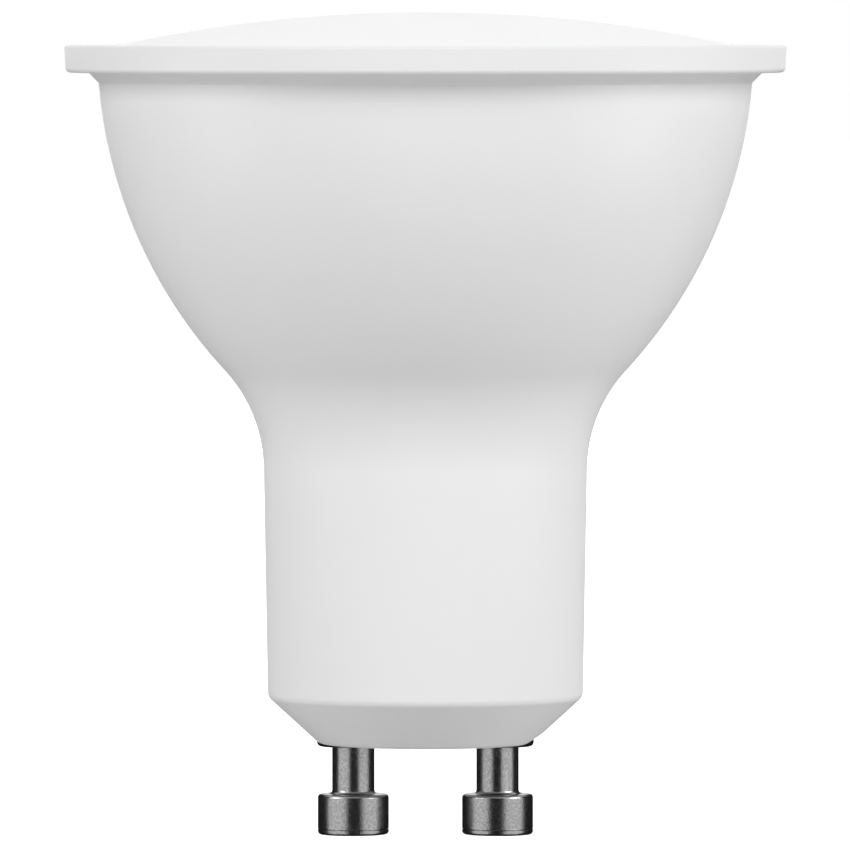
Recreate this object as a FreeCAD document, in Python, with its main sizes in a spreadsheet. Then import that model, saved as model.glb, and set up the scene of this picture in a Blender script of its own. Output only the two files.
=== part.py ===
import FreeCAD, Part
import math
import os
import Sketcher

# A reflector lamp with a twist-and-lock foot of two pins.
# The housing is one white moulding: a rim, a bowl, a waist, a drafted neck and a tapered foot.
# An opal dome sits in the rim, and two turned pins are seated in the foot.
# Millimetres. The origin is the centre of the foot's flat end face, +Z points out of the lit
# front, and +X runs through the two pins.

doc = FreeCAD.newDocument("reflector_lamp")

# Driving dimensions, in millimetres and degrees
DIMENSIONS = {
    # the housing's outline
    "housing_height": 48.4,
    "rim_diameter": 50.0,
    "rim_thickness": 1.9,
    "rim_draft": 3.0,
    "rim_overhang": 2.39,
    "shoulder_chamfer": 0.72,
    "bowl_radius": 33.16,
    "waist_radius": 10.38,
    "neck_diameter": 21.84,
    "neck_draft": 1.04,
    "taper_angle": 47.6,
    # its rounded edges
    "rim_front_round": 0.2,
    "rim_back_round": 0.28,
    "neck_round": 0.5,
    "foot_round": 0.75,
    # the opal dome, inside the flat land that the rim leaves round it
    "land_width": 3.75,
    "dome_rise": 2.27,
    "dome_wall": 1.5,
    "skirt_depth": 3.0,
    "dome_round": 0.15,
    "dome_clearance": 0.1,
    # the two pins
    "pin_spacing": 10.0,
    "head_diameter": 4.93,
    "head_height": 2.82,
    "head_drop": 6.32,
    "head_front_round": 0.25,
    "head_end_round": 0.3,
    "shank_diameter": 2.94,
    "shank_foot_round": 0.12,
    "collar_diameter": 5.04,
    "collar_thickness": 1.2,
    "collar_proud": 0.21,
    "collar_round": 0.3,
    "collar_show": 0.16,
    "root_diameter": 2.4,
    "root_length": 3.0,
    # the pins' seats in the foot
    "seat_clearance": 0.05,
    "root_end_gap": 0.2,
    "relief_diameter": 6.6,
}

sheet = doc.addObject("Spreadsheet::Sheet", "Sizes")
for row, (alias, value) in enumerate(DIMENSIONS.items(), start=1):
    sheet.set(f"A{row}", alias)
    sheet.set(f"B{row}", str(value))
    sheet.setAlias(f"B{row}", alias)
doc.recompute()

# Sizes that several pieces share, worked out from the driving ones
FOOT_RADIUS = "((Sizes.pin_spacing + Sizes.collar_diameter) / 2 - Sizes.collar_show)"
SEAT_DEPTH = "(Sizes.collar_thickness - Sizes.collar_proud)"
DOME_RADIUS = "(Sizes.rim_diameter / 2 - Sizes.land_width)"

# How a sketch numbers the points of an element, and its own axes
START, END, CENTRE = 1, 2, 3
LEVEL_AXIS, UPRIGHT_AXIS = -1, -2
ORIGIN = (LEVEL_AXIS, START)


def size(expression):
    """The present value of a size, or of an expression of sizes."""
    return float(sheet.evalExpression(expression))


def point(x, y):
    return FreeCAD.Vector(x, y, 0)


def new_body(name):
    body = doc.addObject("PartDesign::Body", name)
    body.Label = name
    return body


def new_sketch(body, name, plane_role):
    """A sketch that lies on one of the body's own origin planes."""
    sketch = body.newObject("Sketcher::SketchObject", name)
    for datum in body.Origin.OriginFeatures:
        if datum.Role == plane_role:
            sketch.AttachmentSupport = (datum, "")
    sketch.MapMode = "FlatFace"
    return sketch


def constrain(sketch, kind, *references):
    return sketch.addConstraint(Sketcher.Constraint(kind, *references))


def dimension(sketch, kind, *references, by):
    """A dimension that takes its value from an expression of the sheet's sizes."""
    value = math.radians(size(by)) if kind == "Angle" else size(by)
    index = constrain(sketch, kind, *references, value)
    sketch.setExpression(f"Constraints[{index}]", by)


def join_ends(sketch, order):
    """Join each element's end to the start of the next one, round the closed outline."""
    for this, following in zip(order, order[1:] + order[:1]):
        constrain(sketch, "Coincident", this, END, following, START)


def revolve(body, sketch, name):
    turned = body.newObject("PartDesign::Revolution", name)
    turned.Profile = sketch
    turned.ReferenceAxis = (sketch, ["V_Axis"])
    turned.Angle = 360
    doc.recompute()
    return turned


def ring_edge(feature, corner):
    """The name of the circular edge that one corner of the outline sweeps."""
    for index, edge in enumerate(feature.Shape.Edges, start=1):
        curve = edge.Curve
        if not isinstance(curve, Part.Circle):
            continue
        same_radius = abs(curve.Radius - corner.x) < 1e-4
        same_height = abs(curve.Center.z - corner.y) < 1e-4
        if same_radius and same_height:
            return f"Edge{index}"
    raise RuntimeError(f"{feature.Name}: no round edge at {corner}")


def round_edges(body, feature, corners):
    """Round the swept corners one after another. Each is (name, corner, radius)."""
    for name, corner, radius in corners:
        rounding = body.newObject("PartDesign::Fillet", name)
        rounding.Base = (feature, [ring_edge(feature, corner)])
        rounding.setExpression("Radius", radius)
        doc.recompute()
        feature = rounding


def sink(body, sketch, name, depth, upwards):
    """Cut the sketch's circles into the body, and make sure that something was cut."""
    before = body.Tip.Shape.Volume
    cut = body.newObject("PartDesign::Pocket", name)
    cut.Profile = sketch
    cut.Reversed = upwards
    cut.setExpression("Length", depth)
    doc.recompute()
    if cut.Shape.Volume >= before:
        raise RuntimeError(f"{name} cuts nothing")


# The housing: one moulding, turned from half of its section
def housing_outline(body):
    """Half of the housing's section. Returns the sketch and its named elements."""
    height = size("Sizes.housing_height")
    rim = size("Sizes.rim_diameter / 2")
    thickness = size("Sizes.rim_thickness")
    chamfer = size("Sizes.shoulder_chamfer")
    mouth = size("Sizes.rim_diameter / 2 - Sizes.rim_overhang")
    bowl = size("Sizes.bowl_radius")
    waist = size("Sizes.waist_radius")
    neck = size("Sizes.neck_diameter / 2")
    foot = size(FOOT_RADIUS)
    taper = math.radians(size("Sizes.taper_angle"))
    back = height - thickness
    wall_top = back - chamfer
    corner = (neck - foot) / math.tan(taper)

    # Where the bowl's and the waist's arcs meet, before the constraints settle it
    bowl_x = mouth - math.sqrt(bowl**2 - (height - wall_top) ** 2)
    waist_x = neck + waist
    waist_y = height - math.sqrt((bowl + waist) ** 2 - (waist_x - bowl_x) ** 2)
    share = bowl / (bowl + waist)
    meet_x = bowl_x + (waist_x - bowl_x) * share
    meet_y = height + (waist_y - height) * share
    flare = math.atan2(height - meet_y, meet_x - bowl_x)
    lip = math.asin((height - wall_top) / bowl)

    sketch = new_sketch(body, "housing_section", "XZ_Plane")
    waist_circle = Part.Circle(point(waist_x, waist_y), FreeCAD.Vector(0, 0, 1), waist)
    bowl_circle = Part.Circle(point(bowl_x, height), FreeCAD.Vector(0, 0, 1), bowl)
    elements = {
        "end_face": Part.LineSegment(point(0, 0), point(foot, 0)),
        "taper": Part.LineSegment(point(foot, 0), point(neck, corner)),
        "neck": Part.LineSegment(point(neck, corner), point(neck, waist_y)),
        "waist": Part.ArcOfCircle(waist_circle, math.pi - flare, math.pi),
        "bowl": Part.ArcOfCircle(bowl_circle, -flare, -lip),
        "shoulder": Part.LineSegment(point(mouth, wall_top), point(mouth + chamfer, back)),
        "rim_back": Part.LineSegment(point(mouth + chamfer, back), point(rim, back)),
        "rim_face": Part.LineSegment(point(rim, back), point(rim, height)),
        "land": Part.LineSegment(point(rim, height), point(0, height)),
        "centre": Part.LineSegment(point(0, height), point(0, 0)),
    }
    at = {name: sketch.addGeometry(shape) for name, shape in elements.items()}

    # The arc of the waist runs from the bowl back to the neck, so its ends are joined by hand
    chain = ["end_face", "taper", "neck"]
    for this, following in zip(chain, chain[1:]):
        constrain(sketch, "Coincident", at[this], END, at[following], START)
    constrain(sketch, "Tangent", at["neck"], END, at["waist"], END)
    constrain(sketch, "Tangent", at["waist"], START, at["bowl"], START)
    chain = ["bowl", "shoulder", "rim_back", "rim_face", "land", "centre", "end_face"]
    for this, following in zip(chain, chain[1:]):
        constrain(sketch, "Coincident", at[this], END, at[following], START)
    constrain(sketch, "Coincident", at["end_face"], START, *ORIGIN)
    for name in ("end_face", "rim_back", "land"):
        constrain(sketch, "Horizontal", at[name])
    constrain(sketch, "Vertical", at["centre"])
    constrain(sketch, "Horizontal", at["bowl"], CENTRE, at["land"], START)

    dimension(sketch, "DistanceX", *ORIGIN, at["end_face"], END, by=FOOT_RADIUS)
    dimension(sketch, "Angle", at["taper"], by="90 - Sizes.taper_angle")
    dimension(sketch, "DistanceX", *ORIGIN, at["taper"], END, by="Sizes.neck_diameter / 2")
    dimension(sketch, "Angle", at["neck"], by="90 - Sizes.neck_draft")
    dimension(sketch, "Radius", at["waist"], by="Sizes.waist_radius")
    dimension(sketch, "Radius", at["bowl"], by="Sizes.bowl_radius")
    dimension(sketch, "DistanceX", *ORIGIN, at["bowl"], END,
              by="Sizes.rim_diameter / 2 - Sizes.rim_overhang")
    dimension(sketch, "DistanceX", at["shoulder"], START, at["shoulder"], END,
              by="Sizes.shoulder_chamfer")
    dimension(sketch, "DistanceY", at["shoulder"], START, at["shoulder"], END,
              by="Sizes.shoulder_chamfer")
    dimension(sketch, "DistanceX", *ORIGIN, at["rim_face"], END, by="Sizes.rim_diameter / 2")
    dimension(sketch, "DistanceY", at["rim_face"], START, at["rim_face"], END,
              by="Sizes.rim_thickness")
    dimension(sketch, "Angle", at["rim_face"], by="90 - Sizes.rim_draft")
    dimension(sketch, "DistanceY", *ORIGIN, at["land"], START, by="Sizes.housing_height")
    doc.recompute()
    return sketch, at


def make_housing():
    body = new_body("housing")
    sketch, at = housing_outline(body)
    moulding = revolve(body, sketch, "moulding")
    round_edges(body, moulding, [
        ("foot_edge", sketch.getPoint(at["end_face"], END), "Sizes.foot_round"),
        ("neck_edge", sketch.getPoint(at["taper"], END), "Sizes.neck_round"),
        ("rim_back_edge", sketch.getPoint(at["rim_back"], END), "Sizes.rim_back_round"),
        ("rim_front_edge", sketch.getPoint(at["land"], START), "Sizes.rim_front_round"),
    ])

    recess = new_sketch(body, "dome_recess_outline", "XY_Plane")
    recess.setExpression("AttachmentOffset.Base.z", "Sizes.housing_height")
    add_circle(recess, "0", f"{DOME_RADIUS} + Sizes.dome_clearance")
    sink(body, recess, "dome_recess", "Sizes.skirt_depth", upwards=False)

    # The left collar is a close fit in its seat, and the right one stands in a wider relief
    seats = new_sketch(body, "collar_seat_outlines", "XY_Plane")
    add_circle(seats, "-Sizes.pin_spacing / 2", "Sizes.collar_diameter / 2 + Sizes.seat_clearance")
    add_circle(seats, "Sizes.pin_spacing / 2", "Sizes.relief_diameter / 2")
    sink(body, seats, "collar_seats", SEAT_DEPTH, upwards=True)

    bores = new_sketch(body, "root_bore_outlines", "XY_Plane")
    for side in ("-", ""):
        add_circle(bores, f"{side}Sizes.pin_spacing / 2",
                   "Sizes.root_diameter / 2 + Sizes.seat_clearance")
    sink(body, bores, "root_bores",
         f"{SEAT_DEPTH} + Sizes.root_length + Sizes.root_end_gap", upwards=True)
    return body


def add_circle(sketch, place, radius):
    """A circle on the sketch's level axis, its place and radius given as expressions."""
    centre = point(size(place), 0)
    circle = Part.Circle(centre, FreeCAD.Vector(0, 0, 1), size(radius))
    ring = sketch.addGeometry(circle)
    if size(place) == 0:
        constrain(sketch, "Coincident", ring, CENTRE, *ORIGIN)
    else:
        constrain(sketch, "PointOnObject", ring, CENTRE, LEVEL_AXIS)
        dimension(sketch, "DistanceX", *ORIGIN, ring, CENTRE, by=place)
    dimension(sketch, "Radius", ring, by=radius)


def make_diffuser():
    """The opal dome: a thin spherical cap on a short skirt that stands in the rim's recess."""
    foot = size(DOME_RADIUS)
    rise = size("Sizes.dome_rise")
    wall = size("Sizes.dome_wall")
    depth = size("Sizes.skirt_depth")
    outer = (foot**2 + rise**2) / (2 * rise)
    inner = outer - wall
    centre_y = rise - outer
    outer_lean = math.asin(foot / outer)
    inner_lean = math.asin((foot - wall) / inner)
    inner_top = centre_y + inner * math.cos(inner_lean)

    body = new_body("diffuser")
    body.setExpression("Placement.Base.z", "Sizes.housing_height")
    sketch = new_sketch(body, "dome_section", "XZ_Plane")
    quarter = math.pi / 2
    outer_circle = Part.Circle(point(0, centre_y), FreeCAD.Vector(0, 0, 1), outer)
    inner_circle = Part.Circle(point(0, centre_y), FreeCAD.Vector(0, 0, 1), inner)
    elements = {
        "outside": Part.ArcOfCircle(outer_circle, quarter - outer_lean, quarter),
        "centre": Part.LineSegment(point(0, rise), point(0, rise - wall)),
        "inside": Part.ArcOfCircle(inner_circle, quarter - inner_lean, quarter),
        "skirt_inside": Part.LineSegment(point(foot - wall, inner_top), point(foot - wall, -depth)),
        "skirt_end": Part.LineSegment(point(foot - wall, -depth), point(foot, -depth)),
        "skirt_outside": Part.LineSegment(point(foot, -depth), point(foot, 0)),
    }
    at = {name: sketch.addGeometry(shape) for name, shape in elements.items()}
    constrain(sketch, "Coincident", at["outside"], END, at["centre"], START)
    constrain(sketch, "Coincident", at["centre"], END, at["inside"], END)
    constrain(sketch, "Coincident", at["inside"], START, at["skirt_inside"], START)
    constrain(sketch, "Coincident", at["skirt_inside"], END, at["skirt_end"], START)
    constrain(sketch, "Coincident", at["skirt_end"], END, at["skirt_outside"], START)
    constrain(sketch, "Coincident", at["skirt_outside"], END, at["outside"], START)
    constrain(sketch, "Coincident", at["outside"], CENTRE, at["inside"], CENTRE)
    constrain(sketch, "PointOnObject", at["outside"], CENTRE, UPRIGHT_AXIS)
    constrain(sketch, "PointOnObject", at["centre"], START, UPRIGHT_AXIS)
    for name in ("centre", "skirt_inside", "skirt_outside"):
        constrain(sketch, "Vertical", at[name])
    constrain(sketch, "Horizontal", at["skirt_end"])
    constrain(sketch, "PointOnObject", at["skirt_outside"], END, LEVEL_AXIS)
    dimension(sketch, "DistanceX", *ORIGIN, at["skirt_outside"], END, by=DOME_RADIUS)
    dimension(sketch, "DistanceY", *ORIGIN, at["centre"], START, by="Sizes.dome_rise")
    dimension(sketch, "DistanceY", at["centre"], END, at["centre"], START, by="Sizes.dome_wall")
    dimension(sketch, "DistanceX", at["skirt_end"], START, at["skirt_end"], END,
              by="Sizes.dome_wall")
    dimension(sketch, "DistanceY", at["skirt_outside"], START, at["skirt_outside"], END,
              by="Sizes.skirt_depth")
    doc.recompute()

    cap = revolve(body, sketch, "cap")
    round_edges(body, cap, [
        ("dome_edge", sketch.getPoint(at["outside"], START), "Sizes.dome_round"),
    ])
    return body


def make_pin(name, side):
    """A turned pin: a root and a collar in the foot, a slim shank, and a locking head."""
    root = size("Sizes.root_diameter / 2")
    collar = size("Sizes.collar_diameter / 2")
    shank = size("Sizes.shank_diameter / 2")
    head = size("Sizes.head_diameter / 2")
    seat = size(SEAT_DEPTH)
    top = seat + size("Sizes.root_length")
    proud = -size("Sizes.collar_proud")
    head_end = -size("Sizes.head_drop")
    head_front = head_end + size("Sizes.head_height")

    body = new_body(name)
    body.setExpression("Placement.Base.x", f"{side} * Sizes.pin_spacing / 2")
    sketch = new_sketch(body, f"{name}_section", "XZ_Plane")
    corners = [
        point(0, head_end),
        point(head, head_end),
        point(head, head_front),
        point(shank, head_front),
        point(shank, proud),
        point(collar, proud),
        point(collar, seat),
        point(root, seat),
        point(root, top),
        point(0, top),
    ]
    sides = [
        sketch.addGeometry(Part.LineSegment(this, following))
        for this, following in zip(corners, corners[1:] + corners[:1])
    ]
    (head_end_face, head_wall, head_front_face, shank_wall, collar_face,
     collar_wall, seat_face, root_wall, root_end, centre) = sides
    join_ends(sketch, sides)
    for level in (head_end_face, head_front_face, collar_face, seat_face, root_end):
        constrain(sketch, "Horizontal", level)
    for upright in (head_wall, shank_wall, collar_wall, root_wall):
        constrain(sketch, "Vertical", upright)
    constrain(sketch, "PointOnObject", head_end_face, START, UPRIGHT_AXIS)
    constrain(sketch, "PointOnObject", root_end, END, UPRIGHT_AXIS)
    dimension(sketch, "DistanceX", *ORIGIN, head_wall, END, by="Sizes.head_diameter / 2")
    dimension(sketch, "DistanceX", *ORIGIN, shank_wall, END, by="Sizes.shank_diameter / 2")
    dimension(sketch, "DistanceX", *ORIGIN, collar_wall, START, by="Sizes.collar_diameter / 2")
    dimension(sketch, "DistanceX", *ORIGIN, root_wall, END, by="Sizes.root_diameter / 2")
    dimension(sketch, "DistanceY", head_wall, START, *ORIGIN, by="Sizes.head_drop")
    dimension(sketch, "DistanceY", head_wall, START, head_wall, END, by="Sizes.head_height")
    dimension(sketch, "DistanceY", collar_wall, START, *ORIGIN, by="Sizes.collar_proud")
    dimension(sketch, "DistanceY", collar_wall, START, collar_wall, END,
              by="Sizes.collar_thickness")
    dimension(sketch, "DistanceY", root_wall, START, root_wall, END, by="Sizes.root_length")
    doc.recompute()

    turned = revolve(body, sketch, f"{name}_turned")
    round_edges(body, turned, [
        (f"{name}_head_end_edge", sketch.getPoint(head_wall, START), "Sizes.head_end_round"),
        (f"{name}_head_front_edge", sketch.getPoint(head_wall, END), "Sizes.head_front_round"),
        (f"{name}_shank_foot", sketch.getPoint(shank_wall, START), "Sizes.shank_foot_round"),
        (f"{name}_collar_edge", sketch.getPoint(collar_wall, START), "Sizes.collar_round"),
    ])
    return body


pieces = [
    make_housing(),
    make_diffuser(),
    make_pin("pin_left", -1),
    make_pin("pin_right", 1),
]
doc.recompute()

# Nothing is written unless every object is sound
for item in doc.Objects:
    if "Invalid" in item.State or "Error" in item.State:
        raise RuntimeError(f"{item.Name} failed: {item.State}")
for piece in pieces:
    if piece.Shape.isNull() or not piece.Shape.isValid():
        raise RuntimeError(f"{piece.Label} has no sound shape")

os.makedirs("parts", exist_ok=True)
for piece in pieces:
    piece.Shape.exportStep(f"parts/{piece.Label}.step")
    box = piece.Shape.BoundBox
    print(f"{piece.Label}: {piece.Shape.Volume:.1f} mm3, z {box.ZMin:.2f} to {box.ZMax:.2f}")
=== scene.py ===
# %% [markdown]
# # A reflector lamp with a twist-and-lock foot
#
# This lesson dresses one small lamp: a white moulded housing, an opal domed front, and two turned
# nickel-plated pins. The engineer's model is loaded first and stays where it is. Each of its pieces
# is then replaced by a finer one of the same form, with a finish of its own.
#
# Everything is in metres, and +Z points out of the lamp's lit front.

# %% Load the engineer's model
import math

import bmesh
import bpy
from mathutils import Matrix, Vector


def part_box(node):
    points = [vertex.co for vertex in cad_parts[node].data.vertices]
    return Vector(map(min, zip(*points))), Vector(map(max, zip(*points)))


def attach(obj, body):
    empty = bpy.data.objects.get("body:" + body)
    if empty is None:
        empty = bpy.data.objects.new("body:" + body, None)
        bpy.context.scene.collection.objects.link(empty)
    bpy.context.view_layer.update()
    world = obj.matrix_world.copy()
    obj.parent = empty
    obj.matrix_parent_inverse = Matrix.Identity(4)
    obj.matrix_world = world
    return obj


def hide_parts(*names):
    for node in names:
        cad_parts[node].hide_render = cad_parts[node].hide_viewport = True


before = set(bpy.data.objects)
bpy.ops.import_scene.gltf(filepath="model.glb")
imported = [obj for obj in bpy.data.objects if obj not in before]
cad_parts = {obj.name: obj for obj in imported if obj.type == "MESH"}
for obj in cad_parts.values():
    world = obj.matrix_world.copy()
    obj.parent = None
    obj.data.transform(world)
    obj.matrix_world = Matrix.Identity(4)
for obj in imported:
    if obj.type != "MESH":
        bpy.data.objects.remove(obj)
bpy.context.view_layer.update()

print("pieces in the frame:", sorted(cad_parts))

# %% [markdown]
# ## Sizes
#
# A lamp is drawn in millimetres, and the scene is in metres, so every size is written as
# millimetres times MM. What the frame already knows, such as the height of the housing and the
# place of the pins, is read from it, so that the two models can't drift apart.

# %% Read the main sizes from the frame
MM = 0.001
BODY = "root"

dome_low, dome_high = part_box("diffuser")
HOUSING_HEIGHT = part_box("housing")[1].z
DOME_TOP = dome_high.z
SKIRT_END = dome_low.z
PIN_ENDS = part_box("pin_left")[0].z
PIN_PLACES = {}
for side in ("left", "right"):
    low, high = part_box(f"pin_{side}")
    PIN_PLACES[side] = (low.x + high.x) / 2
print(f"housing {HOUSING_HEIGHT / MM:.2f} mm, dome to {DOME_TOP / MM:.2f} mm, "
      f"pins at {PIN_PLACES['left'] / MM:.2f} and {PIN_PLACES['right'] / MM:.2f} mm")

# %% [markdown]
# ## The camera
#
# The photograph was taken from far away with a long lens, a little above the middle of the lamp:
# the rim's ellipse is very flat, and the sides hardly converge. The distance and the tilt were
# worked out from how far each ring of the lamp bows down in the picture. The lens then follows
# from the width of the view at the lamp.

# %% Set up the camera
CAMERA_DISTANCE = 850 * MM
CAMERA_TILT = math.radians(2.0)
SENSOR_WIDTH = 36.0
IMAGE_SIDE = 850
PIXELS_PER_MM = 14.43
VIEW_WIDTH = IMAGE_SIDE / PIXELS_PER_MM * MM
VIEW_CENTRE = Vector((-0.03 * MM, 0.0, 22.08 * MM))

camera_data = bpy.data.cameras.new("camera")
camera_data.sensor_width = SENSOR_WIDTH
camera_data.lens = SENSOR_WIDTH * CAMERA_DISTANCE / VIEW_WIDTH
camera = bpy.data.objects.new("camera", camera_data)
bpy.context.collection.objects.link(camera)
bpy.context.scene.camera = camera

backwards = Vector((0.0, -math.cos(CAMERA_TILT), math.sin(CAMERA_TILT)))
camera.matrix_world = (
    Matrix.Translation(VIEW_CENTRE + backwards * CAMERA_DISTANCE)
    @ Matrix.Rotation(math.pi / 2 - CAMERA_TILT, 4, "X")
)
bpy.context.scene.view_settings.view_transform = "Standard"
print(f"lens {camera_data.lens:.1f} mm at {CAMERA_DISTANCE:.2f} m")

# %% [markdown]
# ## A white studio
#
# The floor is plain and pale. The camera sees a white ground, because the floor adds a white glow
# for the rays that carry its picture. The glow lights nothing, so the lamp keeps its own shading,
# and the floor keeps the lamp's shadow. The world behind works the same way. Reflections pass
# through the floor, so that the pins show the same studio from top to bottom, as if the lamp hung
# in the air.


# %% Nodes that every material needs
def new_tree(tree):
    """Empty a node tree, and return a function that adds a node with its plain values."""
    tree.nodes.clear()

    def add(kind, **values):
        node = tree.nodes.new(kind)
        for name, value in values.items():
            if hasattr(node, name):
                setattr(node, name, value)
            else:
                node.inputs[name.replace("_", " ")].default_value = value
        return node

    return add


def seen_in_picture(tree, add):
    """One for the rays that carry a picture of the background: camera, glossy and transmission."""
    rays = add("ShaderNodeLightPath")
    shiny = add("ShaderNodeMath", operation="MAXIMUM")
    either = add("ShaderNodeMath", operation="MAXIMUM")
    tree.links.new(rays.outputs["Is Glossy Ray"], shiny.inputs[0])
    tree.links.new(rays.outputs["Is Transmission Ray"], shiny.inputs[1])
    tree.links.new(rays.outputs["Is Camera Ray"], either.inputs[0])
    tree.links.new(shiny.outputs[0], either.inputs[1])
    return either.outputs[0]


# %% The floor's material
FLOOR_COLOUR = (0.58, 0.58, 0.58, 1.0)
FLOOR_GLOW = 0.9
WHITE = (1.0, 1.0, 1.0, 1.0)


def floor_material():
    """Pale where light falls on it, and white where a picture is taken of it."""
    material = bpy.data.materials.new("pale_floor")
    material.use_nodes = True
    tree = material.node_tree
    add = new_tree(tree)
    pale = add("ShaderNodeBsdfDiffuse", Color=FLOOR_COLOUR)
    glow = add("ShaderNodeEmission", Color=WHITE)
    strength = add("ShaderNodeMath", operation="MULTIPLY")
    strength.inputs[1].default_value = FLOOR_GLOW
    both = add("ShaderNodeAddShader")
    leave = add("ShaderNodeOutputMaterial")
    tree.links.new(seen_in_picture(tree, add), strength.inputs[0])
    tree.links.new(strength.outputs[0], glow.inputs["Strength"])
    tree.links.new(pale.outputs[0], both.inputs[0])
    tree.links.new(glow.outputs[0], both.inputs[1])
    tree.links.new(both.outputs[0], leave.inputs["Surface"])
    return material


pale_floor = floor_material()
print("material", pale_floor.name)

# %% Lay the floor
FLOOR_SIDE = 8.0


def lay_floor():
    """A square floor at the height of the pins' ends."""
    bm = bmesh.new()
    bmesh.ops.create_grid(bm, x_segments=1, y_segments=1, size=FLOOR_SIDE / 2)
    bmesh.ops.translate(bm, verts=bm.verts[:], vec=(0.0, 0.0, PIN_ENDS))
    mesh = bpy.data.meshes.new("floor")
    bm.to_mesh(mesh)
    bm.free()
    floor = bpy.data.objects.new("floor", mesh)
    bpy.context.collection.objects.link(floor)
    mesh.materials.append(pale_floor)
    floor.visible_glossy = False


lay_floor()
print("the floor lies under the pins, at", round(PIN_ENDS / MM, 2), "mm")

# %% Fill the world with soft light
WORLD_STRENGTH = 0.295


def fill_world():
    """Soft light for the surfaces, and plain white for the picture's ground."""
    world = bpy.data.worlds.new("studio")
    bpy.context.scene.world = world
    world.use_nodes = True
    tree = world.node_tree
    add = new_tree(tree)
    light = add("ShaderNodeBackground", Color=WHITE, Strength=WORLD_STRENGTH)
    ground = add("ShaderNodeBackground", Color=WHITE, Strength=1.0)
    choice = add("ShaderNodeMixShader")
    leave = add("ShaderNodeOutputWorld")
    tree.links.new(seen_in_picture(tree, add), choice.inputs["Fac"])
    tree.links.new(light.outputs[0], choice.inputs[1])
    tree.links.new(ground.outputs[0], choice.inputs[2])
    tree.links.new(choice.outputs[0], leave.inputs["Surface"])


fill_world()
print("world strength", WORLD_STRENGTH)

# %% [markdown]
# ## Soft boxes
#
# Two large soft boxes hang in front, one at each side and higher than the camera. They give the
# white moulding its bright flanks, and cast the rim's soft shadow on the bowl. Two more light the
# back and the dome. They hang far behind, so that the lamp's outline stays a little darker than
# its front, and stands off the white ground. Weak ones at the sides fill in between. The boxes stay
# out of reflections, because smooth white plastic seen flatly would lose its form in glare.

# %% Hang the soft boxes
# name: (azimuth, elevation, distance, width, height, watts), in degrees and metres
SOFT_BOXES = {
    "front_left": (-48, 28, 0.9, 0.65, 0.45, 4.0),
    "front_right": (48, 28, 0.9, 0.65, 0.45, 4.45),
    "side_left": (-100, 20, 0.9, 0.4, 0.5, 0.3),
    "side_right": (100, 20, 0.9, 0.4, 0.5, 0.8),
    "back_left": (-165, 25, 0.9, 0.45, 0.5, 3.0),
    "back_right": (163, 25, 0.9, 0.45, 0.5, 2.85),
}


def hang_box(name, azimuth, elevation, distance, width, height, watts):
    """A lamp on a sphere round the object. Azimuth 0 is the camera's side, 90 is on its right."""
    turn, lift = math.radians(azimuth), math.radians(elevation)
    outwards = Vector((math.sin(turn) * math.cos(lift), -math.cos(turn) * math.cos(lift),
                       math.sin(lift)))
    data = bpy.data.lights.new(name, "AREA")
    data.shape = "RECTANGLE"
    data.size = width
    data.size_y = height
    data.energy = watts
    box = bpy.data.objects.new(name, data)
    box.matrix_world = (
        Matrix.Translation(VIEW_CENTRE + outwards * distance)
        @ (-outwards).to_track_quat("-Z", "Y").to_matrix().to_4x4()
    )
    bpy.context.collection.objects.link(box)
    box.visible_glossy = False


for name, numbers in SOFT_BOXES.items():
    hang_box(name, *numbers)
print("soft boxes:", ", ".join(SOFT_BOXES))

# %% [markdown]
# ## Cards round the lamp
#
# Shiny metal shows whatever stands round it, so a photographer sets cards there. These ones are
# seen by reflections only. Dark cards stand in front, at the sides and behind, and one lies below.
# They give each pin a dark middle and dark edges, with a bright band between them on each side. The
# slit between the two cards behind gives the pins a line of light when they are seen from the back.
# Two bright cards put the glints on the edges of the pins' heads.
#
# All of these end below the dome. Seen as flatly as in the photograph, the dome is nearly a
# mirror, so it has a pale ring of its own, in two halves, just above the rim.

# %% The cards' materials
CARD_COLOUR = (0.02, 0.02, 0.02, 1.0)
CARD_GLOW = {"dark": 0.012, "pale": 0.72, "bright": 7.5}


def card_material(kind, glow):
    """Dull black with a glow of the given strength."""
    material = bpy.data.materials.new(f"{kind}_card")
    material.use_nodes = True
    tree = material.node_tree
    add = new_tree(tree)
    dull = add("ShaderNodeBsdfDiffuse", Color=CARD_COLOUR)
    light = add("ShaderNodeEmission", Color=WHITE, Strength=glow)
    both = add("ShaderNodeAddShader")
    leave = add("ShaderNodeOutputMaterial")
    tree.links.new(dull.outputs[0], both.inputs[0])
    tree.links.new(light.outputs[0], both.inputs[1])
    tree.links.new(both.outputs[0], leave.inputs["Surface"])
    return material


card_materials = {kind: card_material(kind, glow) for kind, glow in CARD_GLOW.items()}
print("card materials:", ", ".join(card_materials))


# %% A card that only reflections see
def stage_card(bm, name, material):
    """Make the form a card, and hide it from every ray but a reflection."""
    mesh = bpy.data.meshes.new(name)
    bm.to_mesh(mesh)
    bm.free()
    card = bpy.data.objects.new(name, mesh)
    bpy.context.collection.objects.link(card)
    mesh.materials.append(material)
    card.visible_camera = False
    card.visible_diffuse = False
    card.visible_transmission = False
    card.visible_shadow = False


# %% Stand the cards
# name: (kind, first azimuth, last azimuth, distance, bottom, top), in degrees and millimetres
CARDS = {
    "front_card": ("dark", -26, 26, 70, -75, 45),
    "right_card": ("dark", 88, 170, 70, -75, 45),
    "left_card": ("dark", 190, 272, 70, -75, 45),
    "right_glint": ("bright", 49, 79, 70, 18, 44),
    "left_glint": ("bright", -76, -53, 70, 18, 44),
    "front_ring": ("pale", -90, 90, 27, 50, 85),
    "back_ring": ("pale", 90, 270, 27, 50, 85),
}
DEGREES_PER_FACE = 4


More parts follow.
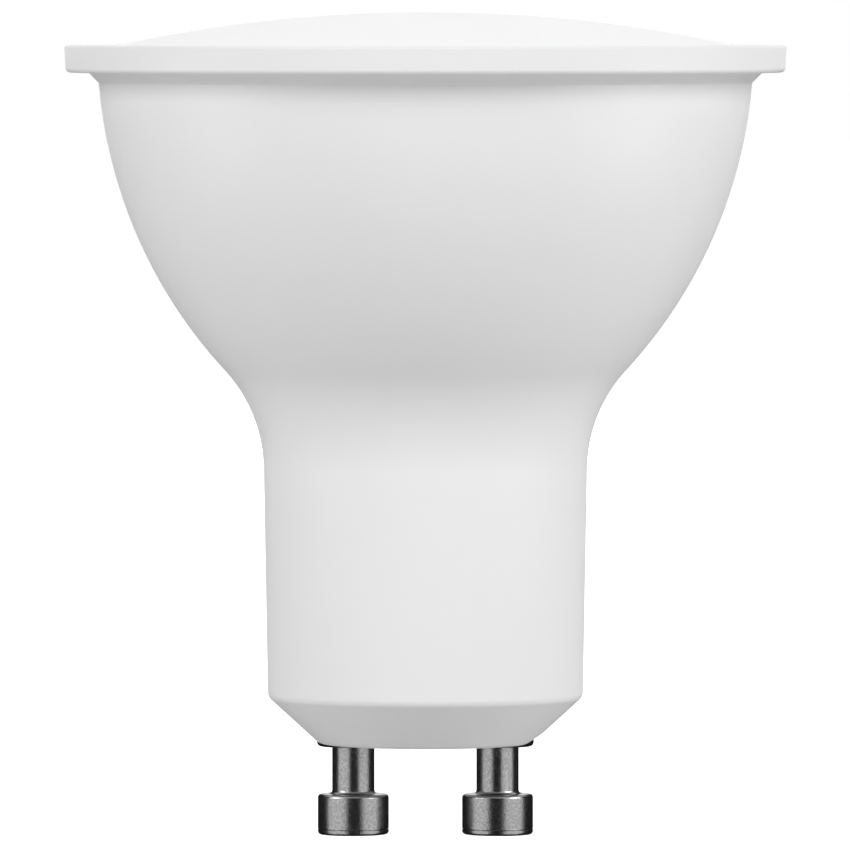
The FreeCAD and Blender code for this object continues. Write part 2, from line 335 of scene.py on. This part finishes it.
def curved_card(start, end, distance, bottom, top):
    """An upright card, swung round the lamp from one azimuth to another."""
    bm = bmesh.new()
    low = bm.verts.new((0.0, -distance * MM, bottom * MM))
    high = bmesh.ops.extrude_vert_indiv(bm, verts=[low])["verts"][0]
    high.co.z = top * MM
    turned = Matrix.Rotation(math.radians(start), 3, "Z")
    bmesh.ops.rotate(bm, verts=bm.verts[:], cent=(0, 0, 0), matrix=turned)
    bmesh.ops.spin(bm, geom=bm.verts[:] + bm.edges[:], cent=(0, 0, 0), axis=(0, 0, 1),
                   angle=math.radians(end - start),
                   steps=round((end - start) / DEGREES_PER_FACE))
    return bm


for name, (kind, *numbers) in CARDS.items():
    stage_card(curved_card(*numbers), name, card_materials[kind])
print("cards:", ", ".join(CARDS))

# %% Lay the lower card
LOWER_CARD_RADIUS = 70 * MM
LOWER_CARD_HEIGHT = -75 * MM
LOWER_CARD_SIDES = 48


def lower_card():
    """A round card that closes the dark cards from below."""
    bm = bmesh.new()
    bmesh.ops.create_circle(bm, cap_ends=True, segments=LOWER_CARD_SIDES,
                            radius=LOWER_CARD_RADIUS)
    bmesh.ops.translate(bm, verts=bm.verts[:], vec=(0, 0, LOWER_CARD_HEIGHT))
    return bm


stage_card(lower_card(), "lower_card", card_materials["dark"])
print("the lower card lies at", round(LOWER_CARD_HEIGHT / MM), "mm")

# %% [markdown]
# ## Drawing an outline and turning it
#
# Every piece of this lamp is round, so each is made as a turner would make it: half of its section
# is drawn once, and swung round the axis. The outline starts at one vertex. A straight side is that
# vertex drawn out, and an arc is the vertex spun round the arc's centre. Sharp corners are rounded
# while the outline is still flat, where a rounding is only a bevel of one vertex.


# %% Draw an outline
def line_to(bm, pen, radius, height):
    """Draw a straight side from the pen to a point, and return the new pen."""
    tip = bmesh.ops.extrude_vert_indiv(bm, verts=[pen])["verts"][0]
    tip.co = (radius, 0.0, height)
    return tip


def arc_to(bm, pen, centre, angle, steps):
    """Swing the pen round a centre. A positive angle turns it upwards from the right."""
    swung = bmesh.ops.spin(bm, geom=[pen], cent=(centre[0], 0.0, centre[1]), axis=(0, -1, 0),
                           angle=angle, steps=steps)
    return swung["geom_last"][0]


def round_corner(bm, corner, radius, segments=6):
    """Round one corner of the outline, so that the arc touches both of its sides."""
    ways = [edge.other_vert(corner).co - corner.co for edge in corner.link_edges]
    turn = math.pi - ways[0].angle(ways[1])
    bmesh.ops.bevel(bm, geom=[corner], offset=radius * math.tan(turn / 2), offset_type="OFFSET",
                    segments=segments, profile=0.5, affect="VERTICES", material=-1)


# %% Turn an outline
TURN_STEPS = 256
PIN_STEPS = 96
WELD = 0.0001 * MM


def turn_outline(bm, steps):
    """Swing the outline once round the lamp's axis, then close the seam and the poles."""
    bmesh.ops.spin(bm, geom=bm.verts[:] + bm.edges[:], cent=(0, 0, 0), axis=(0, 0, 1),
                   angle=math.tau, steps=steps, use_merge=True)
    bmesh.ops.remove_doubles(bm, verts=bm.verts[:], dist=WELD)
    bmesh.ops.recalc_face_normals(bm, faces=bm.faces[:])


# %% From outline to piece
SHARP_CORNER = math.radians(25)
LARGE_FACES_LEAD = 100


def new_piece(bm, name):
    """Make the turned form an object at the origin."""
    open_edges = sum(1 for edge in bm.edges if not edge.is_manifold)
    mesh = bpy.data.meshes.new(name)
    bm.to_mesh(mesh)
    bm.free()
    piece = bpy.data.objects.new(name, mesh)
    bpy.context.collection.objects.link(piece)
    print(f"{name}: {len(mesh.polygons)} faces, {open_edges} open edges")
    return piece


def shade(piece):
    """Smooth shading that keeps the corners sharp and the flat faces flat."""
    piece.data.shade_smooth()
    piece.data.set_sharp_from_angle(angle=SHARP_CORNER)
    even = piece.modifiers.new("even_shading", "WEIGHTED_NORMAL")
    even.keep_sharp = True
    even.weight = LARGE_FACES_LEAD


# %% [markdown]
# ## The housing
#
# The real housing is one moulding of white plastic. From the foot up it has a flat end, a taper,
# a neck with a little draft, a waist that turns outwards, a long bowl, a chamfered shoulder, and a
# rim with its own draft. The bowl's arc is centred level with the front, and the waist's arc
# touches both the neck and the bowl, so the two radii and the neck's line give every tangent point.
# A curve drawn by eye would not have such a clean run of light down its side.

# %% Sizes of the housing
RIM_RADIUS = 25.0 * MM
RIM_THICKNESS = 1.9 * MM
RIM_DRAFT = math.radians(3.0)
RIM_OVERHANG = 2.39 * MM
SHOULDER = 0.72 * MM
BOWL_RADIUS = 33.16 * MM
WAIST_RADIUS = 10.38 * MM
NECK_RADIUS = 10.92 * MM
NECK_DRAFT = math.radians(1.04)
TAPER = math.radians(47.6)
FOOT_RADIUS = 7.36 * MM
RECESS_RADIUS = 21.35 * MM
FOOT_ROUND = 0.75 * MM
NECK_ROUND = 0.65 * MM
SHOULDER_ROUND = 0.12 * MM
RIM_BACK_ROUND = 0.34 * MM
RIM_FRONT_ROUND = 0.2 * MM
print(f"rim {2 * RIM_RADIUS / MM:.1f} mm across, foot {2 * FOOT_RADIUS / MM:.1f} mm across")

# %% Where the waist meets the neck and the bowl
wall_radius = RIM_RADIUS - RIM_OVERHANG
wall_top = HOUSING_HEIGHT - RIM_THICKNESS - SHOULDER
bowl_centre = (
    wall_radius - math.sqrt(BOWL_RADIUS**2 - (HOUSING_HEIGHT - wall_top) ** 2),
    HOUSING_HEIGHT,
)
neck_foot = (NECK_RADIUS, (NECK_RADIUS - FOOT_RADIUS) / math.tan(TAPER))

# The waist's centre stands one radius off the neck's line, and both radii off the bowl's centre.
# Along the neck's line it is found by the chord of that larger circle.
along_neck = Vector((math.sin(NECK_DRAFT), math.cos(NECK_DRAFT)))
off_neck = Vector((math.cos(NECK_DRAFT), -math.sin(NECK_DRAFT)))
track_start = Vector(neck_foot) + off_neck * WAIST_RADIUS
to_bowl = Vector(bowl_centre) - track_start
nearest = to_bowl.dot(along_neck)
gap = (to_bowl - along_neck * nearest).length
waist_centre = track_start + along_neck * (
    nearest - math.sqrt((BOWL_RADIUS + WAIST_RADIUS) ** 2 - gap**2))
neck_top = waist_centre - off_neck * WAIST_RADIUS
meeting = Vector(bowl_centre) + (waist_centre - Vector(bowl_centre)) * (
    BOWL_RADIUS / (BOWL_RADIUS + WAIST_RADIUS))
flare = math.atan2(HOUSING_HEIGHT - meeting.y, meeting.x - bowl_centre[0])
lip = math.asin((HOUSING_HEIGHT - wall_top) / BOWL_RADIUS)
print(f"neck ends at {neck_top.y / MM:.2f} mm, bowl starts at {meeting.y / MM:.2f} mm, "
      f"flare {math.degrees(flare):.1f} degrees")

# %% Draw and turn the housing
WAIST_STEPS = 24
BOWL_STEPS = 40


def housing_form():
    """The moulding, drawn from the middle of the foot to the recess's floor, and turned."""
    bm = bmesh.new()
    back = HOUSING_HEIGHT - RIM_THICKNESS
    pen = bm.verts.new((0.0, 0.0, 0.0))
    foot = line_to(bm, pen, FOOT_RADIUS, 0.0)
    neck = line_to(bm, foot, *neck_foot)
    pen = line_to(bm, neck, neck_top.x, neck_top.y)
    pen = arc_to(bm, pen, waist_centre, -(flare - NECK_DRAFT), WAIST_STEPS)
    shoulder = arc_to(bm, pen, bowl_centre, flare - lip, BOWL_STEPS)
    pen = line_to(bm, shoulder, wall_radius + SHOULDER, back)
    rim_back = line_to(bm, pen, RIM_RADIUS - RIM_THICKNESS * math.tan(RIM_DRAFT), back)
    rim_front = line_to(bm, rim_back, RIM_RADIUS, HOUSING_HEIGHT)
    pen = line_to(bm, rim_front, RECESS_RADIUS, HOUSING_HEIGHT)
    pen = line_to(bm, pen, RECESS_RADIUS, SKIRT_END)
    line_to(bm, pen, 0.0, SKIRT_END)
    roundings = (
        (foot, FOOT_ROUND), (neck, NECK_ROUND), (rim_back, RIM_BACK_ROUND),
        (rim_front, RIM_FRONT_ROUND), (shoulder, SHOULDER_ROUND),
    )
    for corner, radius in roundings:
        round_corner(bm, corner, radius)
    turn_outline(bm, TURN_STEPS)
    return bm


housing = new_piece(housing_form(), "moulded_housing")

# %% [markdown]
# ## The pins' seats
#
# The foot has a round seat for each pin's collar, with a bore above it for the pin's root. The left
# seat is a close fit. The right one is wider, and breaks out through the taper, which shows as a
# notch in the lamp's outline. A stepped plug is turned for each, and cut out of the housing. Its
# steps are the pin's own sizes and a clearance, apart from the wide seat on the right.

# %% Sizes of the seats and of the pins' hidden ends
COLLAR_RADIUS = 2.52 * MM
COLLAR_PROUD = 0.21 * MM
SEAT_TOP = 0.99 * MM
ROOT_RADIUS = 1.2 * MM
ROOT_TOP = 3.99 * MM
SEAT_CLEARANCE = 0.05 * MM
ROOT_END_GAP = 0.2 * MM
RELIEF_RADIUS = 3.3 * MM
PLUG_START = -1.0 * MM
print(f"a root {2 * ROOT_RADIUS / MM:.1f} mm thick goes {ROOT_TOP / MM:.2f} mm into the foot")


# %% A plug for one seat
def seat_plug(seat_radius, place):
    """A stepped plug: the seat for the collar, and the bore for the root above it."""
    bm = bmesh.new()
    pen = bm.verts.new((0.0, 0.0, PLUG_START))
    pen = line_to(bm, pen, seat_radius, PLUG_START)
    pen = line_to(bm, pen, seat_radius, SEAT_TOP)
    pen = line_to(bm, pen, ROOT_RADIUS + SEAT_CLEARANCE, SEAT_TOP)
    pen = line_to(bm, pen, ROOT_RADIUS + SEAT_CLEARANCE, ROOT_TOP + ROOT_END_GAP)
    line_to(bm, pen, 0.0, ROOT_TOP + ROOT_END_GAP)
    turn_outline(bm, PIN_STEPS)
    bmesh.ops.translate(bm, verts=bm.verts[:], vec=(place, 0.0, 0.0))
    return new_piece(bm, "seat_plug")


# %% Cut the seats
def cut_away(piece, plug):
    """Take the plug's form out of the piece, and throw the plug away."""
    cut = piece.modifiers.new("cut", "BOOLEAN")
    cut.operation = "DIFFERENCE"
    cut.solver = "EXACT"
    cut.object = plug
    graph = bpy.context.evaluated_depsgraph_get()
    mesh = bpy.data.meshes.new_from_object(piece.evaluated_get(graph))
    mesh.name = piece.name
    piece.modifiers.clear()
    piece.data = mesh
    bpy.data.objects.remove(plug)


seats = {"left": COLLAR_RADIUS + SEAT_CLEARANCE, "right": RELIEF_RADIUS}
for side, seat_radius in seats.items():
    cut_away(housing, seat_plug(seat_radius, PIN_PLACES[side]))
shade(housing)
print("housing after the cuts:", len(housing.data.polygons), "faces")

# %% [markdown]
# ## The opal dome
#
# The front is a thin shell: a shallow cap on a short skirt, which stands in the rim's recess with
# a hair of play. That play is the fine dark line where the dome meets the rim, so it is real here
# too. The cap's two faces are arcs about one centre, which keeps the wall even.

# %% Draw and turn the dome
DOME_RADIUS = 21.25 * MM
DOME_WALL = 1.5 * MM
DOME_ROUND = 0.15 * MM
DOME_STEPS = 48


def dome_form():
    """The shell, drawn down its outside and up its inside, and turned."""
    rise = DOME_TOP - HOUSING_HEIGHT
    sphere = (DOME_RADIUS**2 + rise**2) / (2 * rise)
    centre = (0.0, DOME_TOP - sphere)
    outside = math.asin(DOME_RADIUS / sphere)
    inside = math.asin((DOME_RADIUS - DOME_WALL) / (sphere - DOME_WALL))
    bm = bmesh.new()
    pen = bm.verts.new((0.0, 0.0, DOME_TOP))
    edge = arc_to(bm, pen, centre, -outside, DOME_STEPS)
    pen = line_to(bm, edge, DOME_RADIUS, SKIRT_END)
    pen = line_to(bm, pen, DOME_RADIUS - DOME_WALL, SKIRT_END)
    inner_top = centre[1] + (sphere - DOME_WALL) * math.cos(inside)
    pen = line_to(bm, pen, DOME_RADIUS - DOME_WALL, inner_top)
    arc_to(bm, pen, centre, inside, DOME_STEPS)
    round_corner(bm, edge, DOME_ROUND, segments=4)
    turn_outline(bm, TURN_STEPS)
    return bm


dome = new_piece(dome_form(), "opal_dome")
shade(dome)

# %% [markdown]
# ## The two pins
#
# Each pin is turned from one rod: a root and a collar that stay in the foot, a slim shank, and the
# wide head that locks behind the holder's plate. The turning tool left one fine line round the
# head, close to its end. It is only six hundredths of a millimetre deep, but it shows as a fine
# dark line, because a narrow groove hides the light from its own walls. So it is drawn into the
# outline, and not painted on.

# %% Draw and turn a pin
HEAD_RADIUS = 2.465 * MM
HEAD_HEIGHT = 2.82 * MM
SHANK_RADIUS = 1.47 * MM
LINE_ABOVE_END = 0.4 * MM
LINE_HALF_WIDTH = 0.045 * MM
LINE_DEPTH = 0.06 * MM
HEAD_END_ROUND = 0.24 * MM
HEAD_FRONT_ROUND = 0.25 * MM
SHANK_FOOT_ROUND = 0.28 * MM
COLLAR_ROUND = 0.3 * MM


def pin_form(place):
    """One pin, drawn from its end to the top of its root, turned and set in its place."""
    bm = bmesh.new()
    line = PIN_ENDS + LINE_ABOVE_END
    pen = bm.verts.new((0.0, 0.0, PIN_ENDS))
    head_end = line_to(bm, pen, HEAD_RADIUS, PIN_ENDS)
    pen = line_to(bm, head_end, HEAD_RADIUS, line - LINE_HALF_WIDTH)
    pen = line_to(bm, pen, HEAD_RADIUS - LINE_DEPTH, line)
    pen = line_to(bm, pen, HEAD_RADIUS, line + LINE_HALF_WIDTH)
    head_front = line_to(bm, pen, HEAD_RADIUS, PIN_ENDS + HEAD_HEIGHT)
    shank_foot = line_to(bm, head_front, SHANK_RADIUS, PIN_ENDS + HEAD_HEIGHT)
    pen = line_to(bm, shank_foot, SHANK_RADIUS, -COLLAR_PROUD)
    collar = line_to(bm, pen, COLLAR_RADIUS, -COLLAR_PROUD)
    pen = line_to(bm, collar, COLLAR_RADIUS, SEAT_TOP)
    pen = line_to(bm, pen, ROOT_RADIUS, SEAT_TOP)
    pen = line_to(bm, pen, ROOT_RADIUS, ROOT_TOP)
    line_to(bm, pen, 0.0, ROOT_TOP)
    roundings = (
        (head_end, HEAD_END_ROUND), (head_front, HEAD_FRONT_ROUND),
        (shank_foot, SHANK_FOOT_ROUND), (collar, COLLAR_ROUND),
    )
    for corner, radius in roundings:
        round_corner(bm, corner, radius)
    turn_outline(bm, PIN_STEPS)
    bmesh.ops.translate(bm, verts=bm.verts[:], vec=(place, 0.0, 0.0))
    return bm


pins = {}
for side, place in PIN_PLACES.items():
    pins[side] = new_piece(pin_form(place), f"turned_pin_{side}")
    shade(pins[side])

# %% [markdown]
# ## Effects that several finishes share
#
# Moulded plastic and plated metal differ in scale and depth, not in kind: each has a fine grain,
# a finish that is a little uneven, and a colour that drifts slightly. Each effect is a node group
# with named sockets, built once, and each material gives it values of its own.


# %% A helper for node groups
def new_group(name, inputs, outputs):
    """A shader node group with the named sockets. Returns the group, its inlet and its outlet."""
    group = bpy.data.node_groups.new(name, "ShaderNodeTree")
    kinds = {"vector": "NodeSocketVector", "value": "NodeSocketFloat", "colour": "NodeSocketColor"}
    for label, kind in inputs.items():
        group.interface.new_socket(name=label, in_out="INPUT", socket_type=kinds[kind])
    for label, kind in outputs.items():
        group.interface.new_socket(name=label, in_out="OUTPUT", socket_type=kinds[kind])
    add = new_tree(group)
    return group, add, add("NodeGroupInput"), add("NodeGroupOutput")


# %% Fine grain
FINE_SHARE = 0.35


def grain_group():
    """The height of a fine grain: a coarse noise with a finer one on it."""
    group, add, inlet, outlet = new_group(
        "fine_grain", {"Place": "vector", "Grains": "value", "Fineness": "value"},
        {"Height": "value"})
    coarse = add("ShaderNodeTexNoise", Detail=3.0, Roughness=0.6)
    fine = add("ShaderNodeTexNoise", Detail=1.0, Roughness=0.5)
    closer = add("ShaderNodeMath", operation="MULTIPLY")
    mix = add("ShaderNodeMix", data_type="FLOAT")
    mix.inputs["Factor"].default_value = FINE_SHARE
    link = group.links.new
    link(inlet.outputs["Place"], coarse.inputs["Vector"])
    link(inlet.outputs["Place"], fine.inputs["Vector"])
    link(inlet.outputs["Grains"], coarse.inputs["Scale"])
    link(inlet.outputs["Grains"], closer.inputs[0])
    link(inlet.outputs["Fineness"], closer.inputs[1])
    link(closer.outputs[0], fine.inputs["Scale"])
    link(coarse.outputs["Fac"], mix.inputs["A"])
    link(fine.outputs["Fac"], mix.inputs["B"])
    link(mix.outputs["Result"], outlet.inputs["Height"])
    return group


fine_grain = grain_group()
print("group", fine_grain.name)


# %% An uneven value
NOISE_LOW = 0.3
NOISE_HIGH = 0.7


def uneven_group():
    """A value that drifts over the surface between two limits, such as a roughness."""
    group, add, inlet, outlet = new_group(
        "uneven_value", {"Place": "vector", "Patches": "value", "Low": "value", "High": "value"},
        {"Value": "value"})
    patches = add("ShaderNodeTexNoise", Detail=4.0, Roughness=0.55)
    spread = add("ShaderNodeMapRange")
    spread.inputs["From Min"].default_value = NOISE_LOW
    spread.inputs["From Max"].default_value = NOISE_HIGH
    link = group.links.new
    link(inlet.outputs["Place"], patches.inputs["Vector"])
    link(inlet.outputs["Patches"], patches.inputs["Scale"])
    link(patches.outputs["Fac"], spread.inputs["Value"])
    link(inlet.outputs["Low"], spread.inputs["To Min"])
    link(inlet.outputs["High"], spread.inputs["To Max"])
    link(spread.outputs["Result"], outlet.inputs["Value"])
    return group


uneven_value = uneven_group()
print("group", uneven_value.name)


# %% A drifting colour
def tint_group():
    """A colour that drifts a little between two tones."""
    group, add, inlet, outlet = new_group(
        "drifting_colour",
        {"Place": "vector", "Patches": "value", "Light": "colour", "Dark": "colour"},
        {"Colour": "colour"})
    drift = add("ShaderNodeGroup", node_tree=uneven_value)
    drift.inputs["Low"].default_value = 0.0
    drift.inputs["High"].default_value = 1.0
    mix = add("ShaderNodeMix", data_type="RGBA")
    link = group.links.new
    link(inlet.outputs["Place"], drift.inputs["Place"])
    link(inlet.outputs["Patches"], drift.inputs["Patches"])
    link(drift.outputs["Value"], mix.inputs["Factor"])
    link(inlet.outputs["Light"], mix.inputs["A"])
    link(inlet.outputs["Dark"], mix.inputs["B"])
    link(mix.outputs["Result"], outlet.inputs["Colour"])
    return group


drifting_colour = tint_group()
print("group", drifting_colour.name)


# %% [markdown]
# ## A base for the three finishes
#
# Each finish is a Principled shader that reads the surface's own place, so a pattern stays where it
# is when the lamp is turned. The function below joins the three groups to it. What makes a finish
# plastic, opal or metal is then said by its own numbers, in its own cell.


# %% Join the effects to a shader
GRAIN_FINENESS = 2.6


def surface(name, light, dark, colour_patches, rough, rough_patches, grains, grain_depth):
    """A material with a drifting colour, an uneven roughness and a fine grain."""
    material = bpy.data.materials.new(name)
    material.use_nodes = True
    tree = material.node_tree
    add = new_tree(tree)
    place = add("ShaderNodeTexCoord").outputs["Object"]
    colour = add("ShaderNodeGroup", node_tree=drifting_colour)
    colour.inputs["Patches"].default_value = colour_patches
    colour.inputs["Light"].default_value = (*light, 1.0)
    colour.inputs["Dark"].default_value = (*dark, 1.0)
    roughness = add("ShaderNodeGroup", node_tree=uneven_value)
    roughness.inputs["Patches"].default_value = rough_patches
    roughness.inputs["Low"].default_value = rough[0]
    roughness.inputs["High"].default_value = rough[1]
    grain = add("ShaderNodeGroup", node_tree=fine_grain)
    grain.inputs["Grains"].default_value = grains
    grain.inputs["Fineness"].default_value = GRAIN_FINENESS
    bump = add("ShaderNodeBump", Strength=1.0, Distance=grain_depth)
    shader = add("ShaderNodeBsdfPrincipled")
    leave = add("ShaderNodeOutputMaterial")
    link = tree.links.new
    for group in (colour, roughness, grain):
        link(place, group.inputs["Place"])
    link(colour.outputs["Colour"], shader.inputs["Base Color"])
    link(roughness.outputs["Value"], shader.inputs["Roughness"])
    link(grain.outputs["Height"], bump.inputs["Height"])
    link(bump.outputs["Normal"], shader.inputs["Normal"])
    link(shader.outputs[0], leave.inputs["Surface"])
    return material, shader


# %% [markdown]
# ## White moulded plastic
#
# The housing is a satin white. Moulds for such parts are spark-eroded very finely, so the surface
# scatters the light evenly and shows no sharp reflection. A low index of refraction keeps its sheen
# weak.

# %% The housing's plastic
housing_plastic, shader = surface(
    "white_moulding",
    light=(0.83, 0.83, 0.83), dark=(0.815, 0.815, 0.815), colour_patches=60.0,
    rough=(0.42, 0.5), rough_patches=400.0,
    grains=7000.0, grain_depth=0.002 * MM)
shader.inputs["IOR"].default_value = 1.2
housing.data.materials.append(housing_plastic)
print("material", housing_plastic.name)

# %% [markdown]
# ## Opal plastic
#
# The dome is smoother and whiter than the housing. Light goes a little way into it before it comes
# out again, which hides the surface's own shading, so it gets a share of subsurface scattering.

# %% The dome's plastic
opal_plastic, shader = surface(
    "opal_front",
    light=(0.925, 0.925, 0.925), dark=(0.915, 0.915, 0.915), colour_patches=50.0,
    rough=(0.3, 0.36), rough_patches=300.0,
    grains=5000.0, grain_depth=0.0008 * MM)
shader.inputs["IOR"].default_value = 1.5
shader.inputs["Subsurface Weight"].default_value = 0.3
shader.inputs["Subsurface Radius"].default_value = (1.0, 1.0, 1.0)
shader.inputs["Subsurface Scale"].default_value = 0.5 * MM
dome.data.materials.append(opal_plastic)
print("material", opal_plastic.name)

# %% [markdown]
# ## Plated pins
#
# Nickel plating on turned brass has a soft shine with a visible grain. The grain runs in no
# direction, as on parts that are tumbled before they are plated.

# %% The pins' metal
pin_metal, shader = surface(
    "nickel_plate",
    light=(0.45, 0.45, 0.448), dark=(0.31, 0.31, 0.308), colour_patches=7000.0,
    rough=(0.16, 0.27), rough_patches=5000.0,
    grains=8500.0, grain_depth=0.014 * MM)
shader.inputs["Metallic"].default_value = 1.0
for pin in pins.values():
    pin.data.materials.append(pin_metal)
print("material", pin_metal.name)

# %% [markdown]
# ## Put each piece on the frame
#
# The lamp has no moving part, so every piece rides on the one body. Each hides the engineer's piece
# that it stands for. The table also gives each finish a slot name, which the loop does not use.

# %% Ride and replace the pieces
dressed = [
    (housing, "housing", "housing_plastic"),
    (dome, "diffuser", "opal_plastic"),
    (pins["left"], "pin_left", "pin_metal"),
    (pins["right"], "pin_right", "pin_metal"),
]
for piece, node, slot in dressed:
    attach(piece, BODY)
    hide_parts(node)
    print(piece.name, "stands for", node)
